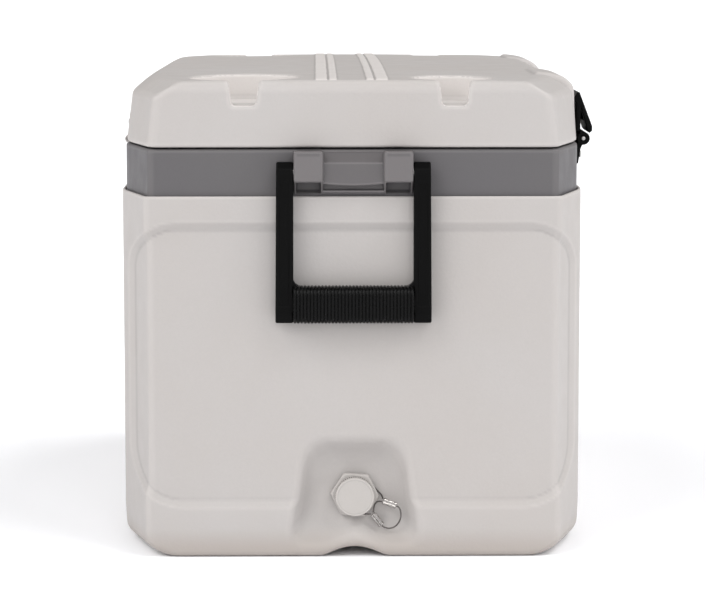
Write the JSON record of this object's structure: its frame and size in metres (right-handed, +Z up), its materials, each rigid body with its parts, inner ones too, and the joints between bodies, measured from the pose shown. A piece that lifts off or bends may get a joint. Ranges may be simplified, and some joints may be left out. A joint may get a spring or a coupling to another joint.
{
  "type": "cooler chest",
  "caption": "Insulated hard-sided cooler chest with a hinged lid, cup holders, end bail handles, front latches and a capped drain.",
  "frame": {"origin": "on the floor, under the middle of the tub", "axes": "+Z up, +Y along the length away from the drain end, +X towards the latch side"},
  "size_m": [0.4638, 0.7848, 0.4622],
  "materials": {
    "shell_plastic": "satin, finely textured",
    "collar_plastic": "semi-gloss",
    "liner_plastic": "smooth",
    "foam": "foamed",
    "black_plastic": "satin",
    "grip_rubber": "ribbed",
    "drain_plastic": "satin",
    "seal_rubber": "matt",
    "steel": "bright"
  },
  "bodies": {
    "chest": {"outer_shell": "shell_plastic", "insulation_core": "foam", "inner_liner": "liner_plastic", "rim_collar": "collar_plastic", "handle_bracket_near": "collar_plastic", "handle_bracket_far": "collar_plastic", "handle_pin_near_left": "steel", "handle_pin_near_right": "steel", "handle_pin_far_left": "steel", "handle_pin_far_right": "steel", "drain_spout": "drain_plastic", "drain_lock_nut": "drain_plastic", "drain_washer": "seal_rubber", "tether_spout_eye": "steel", "tether_spout_ferrule": "steel", "tether_cable": "steel", "tether_bridge": "steel", "hinge_body_leaf_rear_left": "shell_plastic", "hinge_body_leaf_rear_right": "shell_plastic", "hinge_pin_rear_left": "steel", "hinge_pin_rear_right": "steel", "hinge_body_screw_rear_left_a": "steel", "hinge_body_screw_rear_left_b": "steel", "hinge_body_screw_rear_right_a": "steel", "hinge_body_screw_rear_right_b": "steel", "latch_base_near": "black_plastic", "latch_base_far": "black_plastic", "latch_pin_near": "steel", "latch_pin_far": "steel", "latch_screw_near_a": "steel", "latch_screw_near_b": "steel", "latch_screw_far_a": "steel", "latch_screw_far_b": "steel"},
    "lid": {"lid_shell": "shell_plastic", "lid_insulation": "foam", "lid_liner": "liner_plastic", "lid_gasket": "seal_rubber", "hinge_lid_leaf_rear_left": "shell_plastic", "hinge_lid_leaf_rear_right": "shell_plastic", "hinge_lid_screw_rear_left_a": "steel", "hinge_lid_screw_rear_left_b": "steel", "hinge_lid_screw_rear_right_a": "steel", "hinge_lid_screw_rear_right_b": "steel"},
    "handle_near": {"handle_bail_near": "black_plastic", "handle_grip_near": "grip_rubber"},
    "handle_far": {"handle_bail_far": "black_plastic", "handle_grip_far": "grip_rubber"},
    "latch_near": {"latch_lever_near": "black_plastic"},
    "latch_far": {"latch_lever_far": "black_plastic"},
    "cap_carrier": {"tether_cap_eye": "steel", "tether_cap_ferrule": "steel"},
    "cap": {"drain_cap": "drain_plastic", "drain_cap_seal": "seal_rubber"}
  },
  "joints": [
    {"name": "lid_hinge", "type": "hinge", "parent": "chest", "child": "lid", "pos_m": [-0.2215, 0, 0.3927], "axis": [0, -1, 0], "range_deg": [0, 100]},
    {"name": "handle_swing_near", "type": "hinge", "parent": "chest", "child": "handle_near", "pos_m": [0, -0.378, 0.372], "axis": [-1, 0, 0], "range_deg": [0, 105]},
    {"name": "handle_swing_far", "type": "hinge", "parent": "chest", "child": "handle_far", "pos_m": [0, 0.378, 0.372], "axis": [1, 0, 0], "range_deg": [0, 105]},
    {"name": "latch_swing_near", "type": "hinge", "parent": "chest", "child": "latch_near", "pos_m": [0.2295, -0.21, 0.394], "axis": [0, 1, 0], "range_deg": [0, 130]},
    {"name": "latch_swing_far", "type": "hinge", "parent": "chest", "child": "latch_far", "pos_m": [0.2295, 0.21, 0.394], "axis": [0, 1, 0], "range_deg": [0, 130]},
    {"name": "drain_cap_travel", "type": "slide", "parent": "chest", "child": "cap_carrier", "axis": [0, -1, 0], "range_m": [0, 0.006]},
    {"name": "drain_cap_turn", "type": "hinge", "parent": "cap_carrier", "child": "cap", "pos_m": [0.0015, -0.365, 0.0585], "axis": [0, -1, 0], "range_deg": [0, 860]}
  ],
  "couplings": [
    {"joint": "drain_cap_travel", "follows": "drain_cap_turn", "m_per_rad": 0.00039789}
  ]
}
